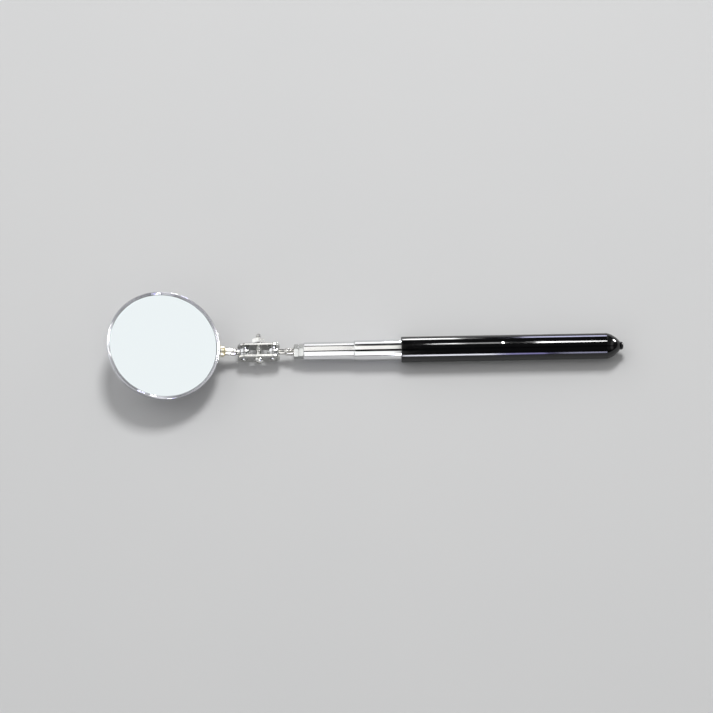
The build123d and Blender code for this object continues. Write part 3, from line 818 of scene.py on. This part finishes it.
# Share by the lean to -X or +X: dark over the tool, bright beside it, dim beyond the grip's end.
SKY_ZONES = [
    (-1.0, 0.4),
    (-0.85, 1.0),
    (-0.55, 1.0),
    (-0.42, 0.75),
    (-0.25, 0.75),
    (-0.15, 0.04),
    (0.15, 0.04),
    (0.25, 0.75),
    (0.38, 0.75),
    (0.46, 0.12),
    (0.70, 0.12),
    (0.76, 0.60),
    (0.84, 0.60),
    (0.90, 0.08),
]

PANEL_DISTANCE = 0.5
NEAR_DISTANCE = 0.2  # of the panels that would show in the mirror if they were further off


def panel(name, first_degrees, last_degrees, x_range, radiance, colour, distance=PANEL_DISTANCE):
    """Softbox along X that covers a range of degrees over the tool and shows in metal and gloss only."""
    middle = radians((first_degrees + last_degrees) / 2)
    width = 2 * distance * tan(radians((last_degrees - first_degrees) / 2))
    length = x_range[1] - x_range[0]
    data = bpy.data.lights.new(name, "AREA")
    data.shape = "RECTANGLE"
    data.size = length
    data.size_y = width
    data.energy = radiance * pi * width * length
    data.color = colour
    light = bpy.data.objects.new(name, data)
    scene.collection.objects.link(light)
    direction = Vector((0, cos(middle), sin(middle)))
    light.location = Vector((sum(x_range) / 2, 0, AXIS_HEIGHT)) + direction * distance
    along_width = direction.cross(Vector((1, 0, 0)))
    turn = Matrix(((1, 0, 0), tuple(along_width), tuple(direction))).transposed()
    light.rotation_euler = turn.to_euler()
    light.visible_camera = False
    light.visible_diffuse = False


def aimed_light(name, size, energy, direction, distance, target):
    """Square light at a distance from a point, facing it. The camera doesn't see it."""
    data = bpy.data.lights.new(name, "AREA")
    data.size = size
    data.energy = energy
    light = bpy.data.objects.new(name, data)
    scene.collection.objects.link(light)
    light.location = target + direction * distance
    light.rotation_euler = (-direction).to_track_quat("-Z", "Y").to_euler()
    light.visible_camera = False
    return light


KEY_SIZE = 0.45
KEY_POWER = 15.0
KEY_DISTANCE = 1.7
KEY_DIRECTION = Vector((0.05, cos(radians(59)), sin(radians(59))))


def key_light():
    """Soft key from behind and above. It gives the shadow towards the front."""
    key = aimed_light("key", KEY_SIZE, KEY_POWER, KEY_DIRECTION, KEY_DISTANCE, Vector((0, 0, 0)))
    key.visible_glossy = False


WHITE = (1.0, 1.0, 1.0)
WARM = (1.0, 0.985, 0.94)
COOL = (0.90, 0.91, 1.0)
LAVENDER = (0.72, 0.72, 1.0)
VIOLET = (0.52, 0.48, 1.0)
INNER_TUBE_SIDE = (-0.034, -0.0022)
MIDDLE_TUBE_SIDE = (-0.0022, 0.025)
# name, first and last degrees, extent along X, radiance, colour, and the distance if it is a near one
PANELS = [
    ("inner_tube_back", 3, 38, INNER_TUBE_SIDE, 1.25, WHITE),
    ("inner_tube_top", 50, 106, (-0.052, -0.0022), 1.12, WARM),
    ("inner_tube_front", 119, 175, (-0.110, -0.0022), 1.30, WHITE),
    ("middle_tube_back", 3, 34, MIDDLE_TUBE_SIDE, 1.25, WHITE),
    ("middle_tube_top", 58, 102, (-0.0042, 0.0208), 1.08, WARM, NEAR_DISTANCE),
    ("middle_tube_front", 126, 172, MIDDLE_TUBE_SIDE, 1.30, WHITE),
    ("clamp_top", 52, 78, (-0.085, -0.040), 1.35, WHITE),
    ("line_1_left", 2, 19, (0.026, 0.060), 22.0, WHITE),
    ("line_1_right", 2, 17, (0.097, 0.149), 13.0, LAVENDER),
    ("line_2_left", 61, 74, (0.036, 0.053), 34.0, WHITE, NEAR_DISTANCE),
    ("line_2_middle", 61, 74, (0.053, 0.076), 7.0, WHITE, NEAR_DISTANCE),
    ("line_2_right", 60, 76, (0.094, 0.135), 38.0, WHITE, NEAR_DISTANCE),
    ("line_3_left", 163, 177, (0.026, 0.083), 22.0, COOL),
    ("line_3_middle", 163, 177, (0.083, 0.112), 9.0, VIOLET),
    ("line_3_right", 163, 177, (0.120, 0.149), 8.0, LAVENDER),
]

SPARK_RADIANCE = 120.0
SPARK_SIZE = 0.15
SPARK_SPREAD = radians(18)
SPARK_DIRECTION = Vector((0.79, 0.59, 0.17)).normalized()
GRIP_END = Vector((0.126, 0, AXIS_HEIGHT))


def spark_light():
    """Small narrow light beyond the grip's end. It gives the cone and the button their points of light."""
    half_spread = SPARK_SPREAD / 2
    narrowing = tan(half_spread) / (tan(half_spread) - half_spread)
    energy = SPARK_RADIANCE * pi * SPARK_SIZE**2 / narrowing
    spark = aimed_light("spark", SPARK_SIZE, energy, SPARK_DIRECTION, PANEL_DISTANCE, GRIP_END)
    spark.data.spread = SPARK_SPREAD
    spark.visible_diffuse = False


studio_world()
key_light()
spark_light()
for settings in PANELS:
    panel(*settings)

scene.view_settings.view_transform = "Standard"
